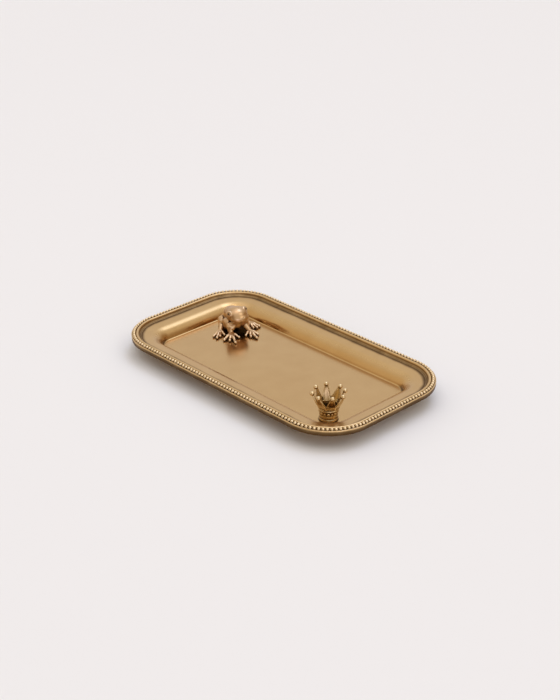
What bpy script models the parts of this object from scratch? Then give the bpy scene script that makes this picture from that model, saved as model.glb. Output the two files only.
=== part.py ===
"""Decorative tray: a beaded rectangular dish with a seated frog and an open crown.

Units are metres and +Z is up. The origin lies on the table under the middle of
the tray. +X runs along the long side towards the crown, +Y across to the left.
"""
import math

import bmesh
import bpy
from mathutils import Matrix, Vector

# Overall size of the tray
TRAY_LENGTH = 0.2500
TRAY_WIDTH = 0.1417
CORNER_RADIUS = 0.0396
CORNER_STEPS = 12

# Fits shared by all pieces
SEAT_GAP = 0.0003
CUT_OVERRUN = 0.0010
MERGE_DISTANCE = 0.00001

# Foot pads
PAD_HEIGHT = 0.0025
PAD_RADIUS = 0.0055
PAD_EDGE = 0.0005
PAD_END_INSET = 0.0550
PAD_SIDE_INSET = 0.0350
PAD_STEPS = 24

# Pan: heights are measured from the top of its floor
SHEET_THICKNESS = 0.0013
FLOOR_INSET = 0.0260
CREASE_RADIUS = 0.0011
CREASE_WALL_SHARE = 0.12
SHOULDER_INSET = 0.0230
SHOULDER_HEIGHT = 0.0081
SHOULDER_RADIUS = 0.0116
MARGIN_HEIGHT = 0.0096
SHOULDER_STEPS = 8
CREASE_STEPS = 3

# Rim moulding: skirt, bead channel and smooth roll
SKIRT_THICKNESS = 0.0014
SKIRT_DROP = 0.0022
SKIRT_TAPER = 0.0003
LEDGE_DROP = 0.0010
LEDGE_BEVEL = 0.0002
LEDGE_WIDTH = 0.0006
CHANNEL_WEB = 0.00045
ROLL_RADIUS = 0.0018
ROLL_OVERLAP = 0.0001
ROLL_FOOT = 0.00065
CHANNEL_START = math.radians(218)
CHANNEL_END = math.radians(340)
ROLL_START = math.radians(150)
CHANNEL_STEPS = 5
ROLL_STEPS = 6

# Bead wire
BEAD_RADIUS = 0.00135
BEAD_PITCH = 0.0032
NECK_SHARE = 0.55

# Screws and washers under both figures
SCREW_RADIUS = 0.0015
SCREW_LENGTH = 0.0060
SCREW_HEAD_RADIUS = 0.0030
SCREW_HEAD_HEIGHT = 0.0010
SCREW_HEAD_EDGE = 0.0003
WASHER_RADIUS = 0.0035
WASHER_THICKNESS = 0.0005
SCREW_STEPS = 16
SCREW_OWNERS = ("frog_right", "frog_left", "crown")

# Frog: it sits this far from its end and from the left side of the tray.
# Places and sizes of its lumps are shares of its length
FROG_END_INSET = 0.0530
FROG_SIDE_INSET = 0.05085
FROG_LENGTH = 0.0400
FROG_HEADING = math.radians(-17)
FROG_VOXEL = 0.0009
FROG_FACES_SHARE = 0.24
FROG_SCREW_X_SHARE = -0.36
FROG_SCREW_Y_SHARE = 0.13

# Body lumps: centre x, y, z, then radius x, y, z, then pitch in degrees, nose down positive
FROG_LUMP_SHARES = (
    (-0.20, 0.00, 0.310, 0.280, 0.190, 0.175, -16),
    (-0.35, 0.00, 0.120, 0.185, 0.235, 0.165, 0),
    (-0.20, -0.300, 0.195, 0.080, 0.042, 0.130, 0),
    (-0.20, 0.300, 0.195, 0.080, 0.042, 0.130, 0),
    (0.00, 0.00, 0.390, 0.215, 0.235, 0.150, 6),
    (0.10, 0.01, 0.350, 0.150, 0.215, 0.100, 6),
    (0.03, 0.02, 0.240, 0.170, 0.205, 0.120, 0),
    (0.04, -0.180, 0.435, 0.078, 0.070, 0.072, 0),
    (-0.01, 0.165, 0.450, 0.078, 0.074, 0.070, 0),
)
# Joints of each leg from the body to the palm: x, y, z and radius, right side negative
FROG_LEG_SHARES = (
    ((-0.35, -0.18, 0.16, 0.090), (-0.14, -0.300, 0.14, 0.050), (-0.09, -0.350, 0.050, 0.040)),
    ((-0.35, 0.18, 0.16, 0.090), (-0.20, 0.320, 0.14, 0.050), (-0.16, 0.385, 0.050, 0.040)),
    ((0.02, -0.20, 0.22, 0.060), (0.11, -0.235, 0.15, 0.045), (0.18, -0.215, 0.055, 0.042)),
    ((0.02, 0.16, 0.22, 0.060), (0.14, 0.130, 0.15, 0.045), (0.22, 0.185, 0.055, 0.042)),
)
# Tips of the four toes of each of those legs, seen from above
FROG_TOE_SHARES = (
    ((0.015, -0.535), (0.117, -0.510), (0.060, -0.405), (0.050, -0.310)),
    ((-0.050, 0.320), (0.050, 0.405), (0.070, 0.490), (0.030, 0.565)),
    ((0.348, -0.115), (0.540, -0.285), (0.385, -0.350), (0.310, -0.440)),
    ((0.330, 0.050), (0.425, 0.120), (0.538, 0.205), (0.385, 0.314)),
)
TOE_ROOT_SHARE = 0.033
TOE_TIP_SHARE = 0.025
TOE_TIP_HEIGHT_SHARE = 0.022

# Crown: it stands this far from its end and from the right side of the tray.
# Heights are measured from its foot
CROWN_END_INSET = 0.0394
CROWN_SIDE_INSET = 0.03985
CROWN_HEADING = math.radians(9)
CROWN_HEIGHT = 0.0225
CROWN_BASE_RADIUS = 0.0073
CROWN_TIP_RADIUS = 0.0121
CROWN_WALL = 0.0013
CROWN_WEB_COVER = 0.0010
CROWN_VALLEY = 0.0105
CROWN_POINTS = 8
POINT_TIP_WIDTH = 0.0017
NOTCH_FLOOR_WIDTH = 0.0008
BALL_RADIUS = 0.0018
CROWN_STEPS = 32

# Band: height as a share of CROWN_HEIGHT, radius as a share of CROWN_BASE_RADIUS
CROWN_BAND_SHARES = (
    (0.000, 0.905), (0.084, 0.905), (0.102, 0.985), (0.164, 0.985), (0.182, 0.952),
    (0.311, 1.000), (0.324, 1.055), (0.356, 1.062), (0.369, 1.020), (0.382, 1.027),
    (0.396, 1.116), (0.431, 1.123), (0.444, 1.096), (0.520, 1.164),
)
# Flare: height as a share of CROWN_HEIGHT, share of the way out to the points' tips
CROWN_FLARE_SHARES = ((0.620, 0.42), (0.710, 0.62), (0.850, 0.86), (0.975, 1.00))

# Places of both figures
FROG_X = FROG_END_INSET - TRAY_LENGTH / 2
FROG_Y = TRAY_WIDTH / 2 - FROG_SIDE_INSET
CROWN_X = TRAY_LENGTH / 2 - CROWN_END_INSET
CROWN_Y = CROWN_SIDE_INSET - TRAY_WIDTH / 2

# Heights of the whole stack above the table, and insets from the tray's outer edge
PAN_UNDERSIDE = PAD_HEIGHT + SEAT_GAP
FLOOR_TOP = PAN_UNDERSIDE + SHEET_THICKNESS
FIGURE_SEAT = FLOOR_TOP + SEAT_GAP
MARGIN_TOP = FLOOR_TOP + MARGIN_HEIGHT
MOULDING_SEAT = MARGIN_TOP + SEAT_GAP
CHANNEL_RADIUS = BEAD_RADIUS + SEAT_GAP
BEAD_CENTRE_HEIGHT = MOULDING_SEAT + CHANNEL_WEB + CHANNEL_RADIUS
BEAD_INSET = LEDGE_WIDTH + CHANNEL_RADIUS
ROLL_INSET = BEAD_INSET + CHANNEL_RADIUS + ROLL_RADIUS - ROLL_OVERLAP
ROLL_CENTRE_HEIGHT = MOULDING_SEAT + ROLL_FOOT
MOULDING_INNER_INSET = ROLL_INSET + ROLL_RADIUS
PAN_EDGE_INSET = SKIRT_THICKNESS + SEAT_GAP
WASHER_TOP = PAN_UNDERSIDE - SEAT_GAP
SCREW_SEAT = WASHER_TOP - WASHER_THICKNESS - SEAT_GAP
SCREW_TIP = SCREW_SEAT + SCREW_LENGTH
HOLE_RADIUS = SCREW_RADIUS + SEAT_GAP
HOLE_TOP = SCREW_TIP + SEAT_GAP
CROWN_WEB = HOLE_TOP + CROWN_WEB_COVER - FIGURE_SEAT


def clear_scene():
    for old in list(bpy.data.objects):
        bpy.data.objects.remove(old, do_unlink=True)


def make_collection(name):
    group = bpy.data.collections.new(name)
    bpy.context.scene.collection.children.link(group)
    return group


def make_material(name, colour, roughness, metallic):
    material = bpy.data.materials.new(name)
    material.use_nodes = True
    shader = material.node_tree.nodes["Principled BSDF"]
    shader.inputs["Base Color"].default_value = (*colour, 1.0)
    shader.inputs["Roughness"].default_value = roughness
    shader.inputs["Metallic"].default_value = metallic
    return material


def add_object(name, data, group, material=None, parent=None):
    item = bpy.data.objects.new(name, data)
    group.objects.link(item)
    if material is not None:
        item.data.materials.append(material)
    item.parent = parent
    return item


def add_seat(name, x, y, heading, group):
    """An empty on the floor of the pan that a figure stands on."""
    seat = add_object(name, None, group)
    seat.location = (x, y, FIGURE_SEAT)
    seat.rotation_euler.z = heading
    return seat


def finish_mesh(name, bm, smooth_angle=math.radians(35)):
    """Mesh data from a bmesh, with smooth shading on its round parts."""
    mesh = bpy.data.meshes.new(name)
    bm.to_mesh(mesh)
    bm.free()
    mesh.shade_smooth()
    mesh.set_sharp_from_angle(angle=smooth_angle)
    return mesh


def add_cutter(name, bm, group, parent=None):
    """A hidden shape that is cut from, or joined to, a piece by a Boolean."""
    cutter = add_object(name, finish_mesh(name, bm), group, parent=parent)
    cutter.hide_render = True
    cutter.display_type = "WIRE"
    return cutter


def add_boolean(item, cutter, operation):
    step = item.modifiers.new(cutter.name, "BOOLEAN")
    step.operation = operation
    step.solver = "EXACT"
    step.object = cutter


def cut_screw_hole(item, name, place, low, high, cutters):
    bm = bmesh.new()
    middle = Matrix.Translation((*place, (low + high) / 2))
    bmesh.ops.create_cone(bm, cap_ends=True, segments=SCREW_STEPS, radius1=HOLE_RADIUS,
                          radius2=HOLE_RADIUS, depth=high - low, matrix=middle)
    add_boolean(item, add_cutter(name, bm, cutters), "DIFFERENCE")


def screw_places():
    """The places of the screws in SCREW_OWNERS, seen from above."""
    turn = Matrix.Rotation(FROG_HEADING, 2)
    places = []
    for side in (-1, 1):
        local = Vector((FROG_SCREW_X_SHARE, side * FROG_SCREW_Y_SHARE)) * FROG_LENGTH
        places.append(Vector((FROG_X, FROG_Y)) + turn @ local)
    places.append(Vector((CROWN_X, CROWN_Y)))
    return places


def outline_corners():
    """Centre of each round corner and the angle where its arc starts."""
    reach_x = TRAY_LENGTH / 2 - CORNER_RADIUS
    reach_y = TRAY_WIDTH / 2 - CORNER_RADIUS
    sides = ((1, 1), (-1, 1), (-1, -1), (1, -1))
    return [(Vector((reach_x * x, reach_y * y)), math.pi / 2 * quarter)
            for quarter, (x, y) in enumerate(sides)]


def spoke(angle):
    return Vector((math.cos(angle), math.sin(angle)))


def outline_points(inset):
    """The tray's outline, counter-clockwise, moved this far inside its outer edge."""
    points = []
    for centre, start in outline_corners():
        for step in range(CORNER_STEPS + 1):
            angle = start + math.pi / 2 * step / CORNER_STEPS
            points.append(centre + (CORNER_RADIUS - inset) * spoke(angle))
    return points


def outline_runs(inset):
    """The same outline as arcs and straights: length, and a function of the way along."""
    radius = CORNER_RADIUS - inset
    corners = outline_corners()
    runs = []
    for (centre, start), (following, _) in zip(corners, corners[1:] + corners[:1]):
        def along_arc(way, centre=centre, start=start):
            return centre + radius * spoke(start + way / radius)

        def along_straight(way, centre=centre, start=start):
            end = start + math.pi / 2
            return centre + radius * spoke(end) + way * spoke(end + math.pi / 2)

        runs.append((radius * math.pi / 2, along_arc))
        runs.append(((following - centre).length, along_straight))
    return runs


def evenly_along(runs, count):
    """This many points at even distances along the runs."""
    total = sum(length for length, _ in runs)
    points = []
    passed = 0.0
    for length, place in runs:
        while len(points) < count and total * len(points) / count < passed + length:
            points.append(place(total * len(points) / count - passed))
        passed += length
    return points


def arc_section(inset, height, radius, start, end, steps):
    """An arc in a section, as inset and height pairs."""
    centre = Vector((inset, height))
    return [centre + radius * spoke(start + (end - start) * step / steps)
            for step in range(steps + 1)]


def rounded_bend(before, corner, after, radius, steps, free_share=1.0):
    """The arc that rounds a bend of a section, on at most this share of its shorter line."""
    corner = Vector(corner)
    back = Vector(before) - corner
    forth = Vector(after) - corner
    half = back.angle(forth) / 2
    reach = min(radius / math.tan(half), free_share * min(back.length, forth.length))
    middle = (back.normalized() + forth.normalized()).normalized()
    centre = corner + middle * (reach / math.cos(half))
    first = corner + back.normalized() * reach - centre
    last = corner + forth.normalized() * reach - centre
    turn = first.angle(last)
    points = []
    for step in range(steps + 1):
        start_part = first * math.sin(turn * (1 - step / steps))
        end_part = last * math.sin(turn * step / steps)
        points.append(centre + (start_part + end_part) / math.sin(turn))
    return points


def sweep_section(section, closed):
    """Carries a section of inset and height pairs round the outline of the tray."""
    bm = bmesh.new()
    loops = []
    for inset, height in section:
        ring = [bm.verts.new((*point, height)) for point in outline_points(inset)]
        loops.append([bm.edges.new((ring[i - 1], ring[i])) for i in range(len(ring))])
    followers = loops[1:] + (loops[:1] if closed else [])
    for outer, inner in zip(loops, followers):
        bmesh.ops.bridge_loops(bm, edges=outer + inner)
    return bm, loops[-1]


def turned_mesh(name, profile, steps, material):
    """Spins a profile of radius and height pairs about the Z axis."""
    bm = bmesh.new()
    line = [bm.verts.new((radius, 0.0, height)) for radius, height in profile]
    edges = [bm.edges.new(pair) for pair in zip(line, line[1:])]
    bmesh.ops.spin(bm, geom=line + edges, cent=(0.0, 0.0, 0.0), axis=(0.0, 0.0, 1.0),
                   angle=2 * math.pi, steps=steps, use_merge=True)
    bmesh.ops.remove_doubles(bm, verts=bm.verts, dist=MERGE_DISTANCE)
    bmesh.ops.recalc_face_normals(bm, faces=bm.faces)
    mesh = finish_mesh(name, bm)
    mesh.materials.append(material)
    return mesh


def build_pan(parts, cutters, material):
    """One sheet: margin under the moulding, sloping flange, shoulder, wall and floor."""
    margin = (MOULDING_INNER_INSET + SEAT_GAP, MARGIN_TOP)
    shoulder = (SHOULDER_INSET, FLOOR_TOP + SHOULDER_HEIGHT)
    crease = (FLOOR_INSET, FLOOR_TOP)
    middle = (TRAY_WIDTH / 2, FLOOR_TOP)
    section = [(PAN_EDGE_INSET, MARGIN_TOP), margin]
    section += rounded_bend(margin, shoulder, crease, SHOULDER_RADIUS, SHOULDER_STEPS,
                            1.0 - CREASE_WALL_SHARE)
    section += rounded_bend(shoulder, crease, middle, CREASE_RADIUS, CREASE_STEPS,
                            CREASE_WALL_SHARE)
    bm, floor_edges = sweep_section(section, closed=False)
    floor = bmesh.ops.contextual_create(bm, geom=floor_edges)["faces"][0]
    bmesh.ops.recalc_face_normals(bm, faces=bm.faces)
    if floor.normal.z < 0:
        bmesh.ops.reverse_faces(bm, faces=bm.faces)
    pan = add_object("tray_pan", finish_mesh("tray_pan", bm), parts, material)
    sheet = pan.modifiers.new("sheet", "SOLIDIFY")
    sheet.thickness = SHEET_THICKNESS
    sheet.offset = -1.0
    sheet.use_even_offset = True
    for number, place in enumerate(screw_places(), start=1):
        cut_screw_hole(pan, f"pan_hole_{number}", place, PAN_UNDERSIDE - CUT_OVERRUN,
                       FLOOR_TOP + CUT_OVERRUN, cutters)


def build_moulding(parts, material):
    """A strip over the edge of the pan: skirt, ledge, bead channel and smooth roll."""
    skirt_bottom = MARGIN_TOP - SKIRT_DROP
    channel = arc_section(BEAD_INSET, BEAD_CENTRE_HEIGHT, CHANNEL_RADIUS,
                          CHANNEL_START, CHANNEL_END, CHANNEL_STEPS)
    roll = arc_section(ROLL_INSET, ROLL_CENTRE_HEIGHT, ROLL_RADIUS, ROLL_START, 0.0, ROLL_STEPS)
    ledge = channel[0].y
    section = [(SKIRT_TAPER, skirt_bottom), (0.0, ledge - LEDGE_DROP), (LEDGE_BEVEL, ledge)]
    section += channel + roll
    section += [(MOULDING_INNER_INSET, MOULDING_SEAT), (SKIRT_THICKNESS, MOULDING_SEAT),
                (SKIRT_THICKNESS, skirt_bottom)]
    bm, _ = sweep_section(section, closed=True)
    bmesh.ops.recalc_face_normals(bm, faces=bm.faces)
    add_object("rim_moulding", finish_mesh("rim_moulding", bm), parts, material)


def build_bead_wire(parts, material):
    """A closed wire whose radius swells at each bead and narrows at each neck."""
    runs = outline_runs(BEAD_INSET)
    beads = round(sum(length for length, _ in runs) / BEAD_PITCH)
    curve = bpy.data.curves.new("bead_wire", "CURVE")
    curve.dimensions = "3D"
    curve.twist_mode = "Z_UP"
    curve.bevel_depth = BEAD_RADIUS
    curve.bevel_resolution = 1
    line = curve.splines.new("POLY")
    places = evenly_along(runs, 2 * beads)
    line.points.add(len(places) - 1)
    for number, (point, place) in enumerate(zip(line.points, places)):
        point.co = (*place, BEAD_CENTRE_HEIGHT, 1.0)
        point.radius = 1.0 if number % 2 == 0 else NECK_SHARE
    line.use_cyclic_u = True
    add_object("bead_wire", curve, parts, material)


def add_lump(bm, shares):
    """An egg-shaped lump of the frog's body."""
    x, y, z, radius_x, radius_y, radius_z, pitch = shares
    place = Matrix.Translation(Vector((x, y, z)) * FROG_LENGTH)
    tilt = Matrix.Rotation(math.radians(pitch), 4, "Y")
    size = Matrix.Diagonal((radius_x, radius_y, radius_z)).to_4x4()
    bmesh.ops.create_uvsphere(bm, u_segments=20, v_segments=12, radius=FROG_LENGTH,
                              matrix=place @ tilt @ size)


def add_limb(bm, run):
    """A leg or a toe: a ball at each joint and a tapered cone between joints."""
    joints = [(Vector((x, y, z)) * FROG_LENGTH, radius * FROG_LENGTH)
              for x, y, z, radius in run]
    for centre, radius in joints:
        bmesh.ops.create_uvsphere(bm, u_segments=12, v_segments=8, radius=radius,
                                  matrix=Matrix.Translation(centre))
    for (start, thick), (end, thin) in zip(joints, joints[1:]):
        span = end - start
        turn = span.to_track_quat("Z", "Y").to_matrix().to_4x4()
        place = Matrix.Translation((start + end) / 2) @ turn
        bmesh.ops.create_cone(bm, cap_ends=True, segments=12, radius1=thick, radius2=thin,
                              depth=span.length, matrix=place)


def build_frog(parts, cutters, material):
    """Lumps and limbs fused into one skin, cut flat at its soles and drilled from below."""
    bm = bmesh.new()
    for shares in FROG_LUMP_SHARES:
        add_lump(bm, shares)
    for leg, tips in zip(FROG_LEG_SHARES, FROG_TOE_SHARES):
        add_limb(bm, leg)
        for tip in tips:
            toe_end = (*tip, TOE_TIP_HEIGHT_SHARE, TOE_TIP_SHARE)
            add_limb(bm, (leg[-1][:3] + (TOE_ROOT_SHARE,), toe_end))
    seat = add_seat("frog_seat", FROG_X, FROG_Y, FROG_HEADING, parts)
    frog = add_object("frog_figure", finish_mesh("frog_figure", bm), parts, material, seat)
    skin = frog.modifiers.new("skin", "REMESH")
    skin.mode = "VOXEL"
    skin.voxel_size = FROG_VOXEL
    skin.use_smooth_shade = True
    fewer = frog.modifiers.new("fewer_faces", "DECIMATE")
    fewer.ratio = FROG_FACES_SHARE

    bm = bmesh.new()
    below = Matrix.Translation((0.0, 0.0, -FROG_LENGTH))
    bmesh.ops.create_cube(bm, size=2 * FROG_LENGTH, matrix=below)
    add_boolean(frog, add_cutter("frog_sole_cutter", bm, cutters, seat), "DIFFERENCE")
    for number, place in enumerate(screw_places()[:2], start=1):
        cut_screw_hole(frog, f"frog_hole_{number}", place, FIGURE_SEAT - CUT_OVERRUN,
                       HOLE_TOP, cutters)


def crown_profile():
    """The crown's wall as radius and height pairs, from the web up, over and down outside."""
    band = [(CROWN_BASE_RADIUS * radius, CROWN_HEIGHT * height)
            for height, radius in CROWN_BAND_SHARES]
    neck = band[-1][0]
    reach = CROWN_TIP_RADIUS + CROWN_WALL / 2 - neck
    flare = [(neck + reach * share, CROWN_HEIGHT * height)
             for height, share in CROWN_FLARE_SHARES]
    bore = min(radius for radius, _ in band) - CROWN_WALL
    inside = [(0.0, CROWN_WEB), (bore, CROWN_WEB)]
    inside += [(radius - CROWN_WALL, height) for radius, height in band[-1:] + flare]
    return inside + flare[::-1] + band[::-1] + [(0.0, 0.0)]


def build_crown(parts, cutters, material):
    """A turned cup: notches leave its points standing, and each point carries a ball."""
    seat = add_seat("crown_seat", CROWN_X, CROWN_Y, CROWN_HEADING, parts)
    bm = bmesh.new()
    line = [bm.verts.new((radius, 0.0, height)) for radius, height in crown_profile()]
    for pair in zip(line, line[1:]):
        bm.edges.new(pair)
    crown = add_object("crown_figure", finish_mesh("crown_figure", bm), parts, material, seat)
    turn = crown.modifiers.new("turn", "SCREW")
    turn.steps = CROWN_STEPS
    turn.render_steps = CROWN_STEPS
    turn.use_merge_vertices = True
    turn.merge_threshold = MERGE_DISTANCE
    turn.use_smooth_shade = True

    # Each notch is a wedge that runs through the axis and opens two gaps
    reach = CROWN_TIP_RADIUS + CROWN_WALL + CUT_OVERRUN
    top = CROWN_HEIGHT + CUT_OVERRUN
    half_width = CROWN_TIP_RADIUS * math.sin(math.pi / CROWN_POINTS) - POINT_TIP_WIDTH / 2
    half_width *= (top - CROWN_VALLEY) / (CROWN_HEIGHT - CROWN_VALLEY)
    half_floor = NOTCH_FLOOR_WIDTH / 2
    for number in range(CROWN_POINTS // 2):
        bm = bmesh.new()
        outline = [bm.verts.new((-reach, y, z))
                   for y, z in ((-half_floor, CROWN_VALLEY), (half_floor, CROWN_VALLEY),
                                (half_width, top), (-half_width, top))]
        face = bm.faces.new(outline)
        copied = bmesh.ops.extrude_face_region(bm, geom=[face])["geom"]
        moved = [part for part in copied if isinstance(part, bmesh.types.BMVert)]
        bmesh.ops.translate(bm, verts=moved, vec=(2 * reach, 0.0, 0.0))
        bmesh.ops.recalc_face_normals(bm, faces=bm.faces)
        wedge = add_cutter(f"crown_notch_{number + 1}", bm, cutters, seat)
        wedge.rotation_euler.z = 2 * math.pi * (number + 1 / 2) / CROWN_POINTS
        add_boolean(crown, wedge, "DIFFERENCE")
    for number in range(CROWN_POINTS):
        bm = bmesh.new()
        centre = CROWN_TIP_RADIUS * spoke(2 * math.pi * number / CROWN_POINTS)
        bmesh.ops.create_uvsphere(bm, u_segments=10, v_segments=7, radius=BALL_RADIUS,
                                  matrix=Matrix.Translation((*centre, CROWN_HEIGHT)))
        add_boolean(crown, add_cutter(f"crown_ball_{number + 1}", bm, cutters, seat), "UNION")
    cut_screw_hole(crown, "crown_hole", screw_places()[-1], FIGURE_SEAT - CUT_OVERRUN,
                   HOLE_TOP, cutters)


def build_screws(parts, material):
    """Three like screws, pushed up through the floor of the pan into the figures."""
    head_bottom = SCREW_SEAT - SCREW_HEAD_HEIGHT
    profile = ((0.0, SCREW_TIP), (SCREW_RADIUS, SCREW_TIP), (SCREW_RADIUS, SCREW_SEAT),
               (SCREW_HEAD_RADIUS, SCREW_SEAT), (SCREW_HEAD_RADIUS, head_bottom + SCREW_HEAD_EDGE),
               (SCREW_HEAD_RADIUS - SCREW_HEAD_EDGE, head_bottom), (0.0, head_bottom))
    mesh = turned_mesh("screw", profile, SCREW_STEPS, material)
    for owner, place in zip(SCREW_OWNERS, screw_places()):
        screw = add_object(f"{owner}_screw", mesh, parts)
        screw.location = (*place, 0.0)


def build_washers(parts, material):
    """One washer round each screw, between its head and the pan."""
    low = WASHER_TOP - WASHER_THICKNESS
    profile = ((HOLE_RADIUS, low), (HOLE_RADIUS, WASHER_TOP), (WASHER_RADIUS, WASHER_TOP),
               (WASHER_RADIUS, low), (HOLE_RADIUS, low))
    mesh = turned_mesh("washer", profile, SCREW_STEPS, material)
    for owner, place in zip(SCREW_OWNERS, screw_places()):
        washer = add_object(f"{owner}_washer", mesh, parts)
        washer.location = (*place, 0.0)


def build_pads(parts, material):
    """Four soft discs under the floor, each turned about its own middle."""
    profile = ((0.0, PAD_HEIGHT), (PAD_RADIUS, PAD_HEIGHT), (PAD_RADIUS, PAD_EDGE),
               (PAD_RADIUS - PAD_EDGE, 0.0), (0.0, 0.0))
    mesh = turned_mesh("foot_pad", profile, PAD_STEPS, material)
    reach_x = TRAY_LENGTH / 2 - PAD_END_INSET
    reach_y = TRAY_WIDTH / 2 - PAD_SIDE_INSET
    for end, x in (("frog_end", -reach_x), ("crown_end", reach_x)):
        for side, y in (("right", -reach_y), ("left", reach_y)):
            pad = add_object(f"foot_pad_{end}_{side}", mesh, parts)
            pad.location = (x, y, 0.0)


def main():
    clear_scene()
    parts = make_collection("decorative_tray")
    cutters = make_collection("cutters")
    satin_brass = make_material("satin_brass", (0.56, 0.38, 0.17), 0.32, 1.0)
    aged_brass = make_material("aged_brass", (0.42, 0.27, 0.12), 0.38, 1.0)
    bead_brass = make_material("bead_brass", (0.62, 0.44, 0.22), 0.28, 1.0)
    figure_brass = make_material("figure_brass", (0.52, 0.34, 0.18), 0.26, 1.0)
    steel = make_material("screw_steel", (0.55, 0.54, 0.52), 0.35, 1.0)
    rubber = make_material("pad_rubber", (0.03, 0.03, 0.03), 0.80, 0.0)
    build_pan(parts, cutters, satin_brass)
    build_moulding(parts, aged_brass)
    build_bead_wire(parts, bead_brass)
    build_frog(parts, cutters, figure_brass)
    build_crown(parts, cutters, figure_brass)
    build_screws(parts, steel)
    build_washers(parts, steel)
    build_pads(parts, rubber)


main()
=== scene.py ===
# %% [markdown]
# # A small brass tray with a frog and a crown
#
# The tray is pressed from one sheet of brass. A formed strip with a row of beads
# covers its edge, and two cast figures are screwed on from below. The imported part
# already holds all of these at their real size. This lesson dresses each of them
# in its fine shape and finish, one cell at a time.

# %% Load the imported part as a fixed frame
import math

import bmesh
import bpy
import numpy as np
from mathutils import Matrix, Vector
from mathutils.bvhtree import BVHTree


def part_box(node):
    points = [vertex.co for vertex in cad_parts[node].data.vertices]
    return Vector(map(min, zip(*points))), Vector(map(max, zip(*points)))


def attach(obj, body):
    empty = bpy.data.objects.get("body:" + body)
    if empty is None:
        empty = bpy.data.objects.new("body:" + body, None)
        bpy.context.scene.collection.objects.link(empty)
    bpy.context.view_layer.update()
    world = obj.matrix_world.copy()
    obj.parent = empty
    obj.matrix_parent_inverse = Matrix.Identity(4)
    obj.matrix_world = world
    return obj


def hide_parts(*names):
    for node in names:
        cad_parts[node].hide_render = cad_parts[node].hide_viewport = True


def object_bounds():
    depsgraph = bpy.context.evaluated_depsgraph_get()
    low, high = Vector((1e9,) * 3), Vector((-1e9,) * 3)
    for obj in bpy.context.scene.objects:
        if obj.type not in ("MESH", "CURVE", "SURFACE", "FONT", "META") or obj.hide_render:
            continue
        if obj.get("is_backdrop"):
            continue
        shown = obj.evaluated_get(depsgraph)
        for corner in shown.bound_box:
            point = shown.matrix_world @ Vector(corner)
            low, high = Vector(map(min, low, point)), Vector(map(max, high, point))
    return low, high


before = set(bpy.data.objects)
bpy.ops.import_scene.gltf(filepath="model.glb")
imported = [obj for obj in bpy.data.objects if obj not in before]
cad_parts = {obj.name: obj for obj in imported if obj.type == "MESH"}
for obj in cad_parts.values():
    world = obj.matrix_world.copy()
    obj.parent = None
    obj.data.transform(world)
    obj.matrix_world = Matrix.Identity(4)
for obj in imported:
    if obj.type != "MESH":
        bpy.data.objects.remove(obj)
cad_low, cad_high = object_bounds()
MM = 0.001
print("nodes in the frame:", sorted(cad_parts))
print("size of the part in mm:", [round(side / MM, 2) for side in cad_high - cad_low])

# %% [markdown]
# ## Camera
#
# The photo looks down on the tray at 27 degrees, over the corner between its near
# long side and the crown's end, from 1.1 m away. A long lens keeps the far end nearly
# as large as the near one. The camera's place was worked out from the tray's own
# edges, so the frame needs no shift and the picture can be laid over the photo.

# %% Put the camera where the photographer stood
CAMERA_PLACE = (0.7110, -0.6842, 0.5195)
CAMERA_HEADING = Vector((-0.720, 0.694, 0.0))
CAMERA_PITCH = math.radians(26.88)
LENS_MM = 71.43


def put_in_scene(name, data):
    item = bpy.data.objects.new(name, data)
    bpy.context.scene.collection.objects.link(item)
    return item


camera = put_in_scene("camera", bpy.data.cameras.new("camera"))
camera.data.lens = LENS_MM
camera.data.clip_start = 0.01
camera.location = CAMERA_PLACE
look = CAMERA_HEADING.normalized() * math.cos(CAMERA_PITCH)
look.z = -math.sin(CAMERA_PITCH)
camera.rotation_euler = look.to_track_quat("-Z", "Y").to_euler()
bpy.context.scene.camera = camera
bpy.context.scene.view_settings.view_transform = "Standard"
print("camera stands", round(camera.location.length, 3), "m from the middle of the tray")

# %% [markdown]
# ## Node helpers
#
# A finish is a small net of shader nodes. The first helper fills a node's sockets: one
# that is given another node's output is linked, and any other value is written into
# it. The second makes a node and fills it. The others make the kinds used most.

# %% Helpers that make and fill nodes


def fill(tree, node, inputs):
    for socket, value in inputs.items():
        if isinstance(value, bpy.types.NodeSocket):
            tree.links.new(value, node.inputs[socket])
        else:
            node.inputs[socket].default_value = value


def add_node(tree, kind, inputs=None, **settings):
    node = tree.nodes.new("ShaderNode" + kind)
    for name, value in settings.items():
        setattr(node, name, value)
    fill(tree, node, inputs or {})
    return node


def remap(tree, value, low, high, to_low=0.0, to_high=1.0, kind="LINEAR"):
    """Carries the range from low to high over to another one, and holds it at the ends."""
    return add_node(tree, "MapRange", {"Value": value, "From Min": low, "From Max": high,
                                       "To Min": to_low, "To Max": to_high},
                    interpolation_type=kind).outputs[0]


def mixed(tree, share, first, second, kind="MIX"):
    return add_node(tree, "Mix", {0: share, 6: first, 7: second}, data_type="RGBA",
                    blend_type=kind).outputs[2]


def computed(tree, operation, *values):
    return add_node(tree, "Math", dict(enumerate(values)), operation=operation).outputs[0]


def noise(tree, place, per_metre, detail, roughness=0.5):
    return add_node(tree, "TexNoise", {"Vector": place, "Scale": per_metre, "Detail": detail,
                                       "Roughness": roughness}).outputs["Fac"]


def bumped(tree, height, strength, distance, below=None):
    """Low relief in the shading, laid over the relief below it if there is any."""
    node = add_node(tree, "Bump", {"Height": height, "Strength": strength, "Distance": distance})
    if below:
        tree.links.new(below, node.inputs["Normal"])
    return node.outputs[0]


def new_material(name):
    material = bpy.data.materials.new(name)
    material.use_nodes = True
    tree = material.node_tree
    return material, tree, tree.nodes["Principled BSDF"]


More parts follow.
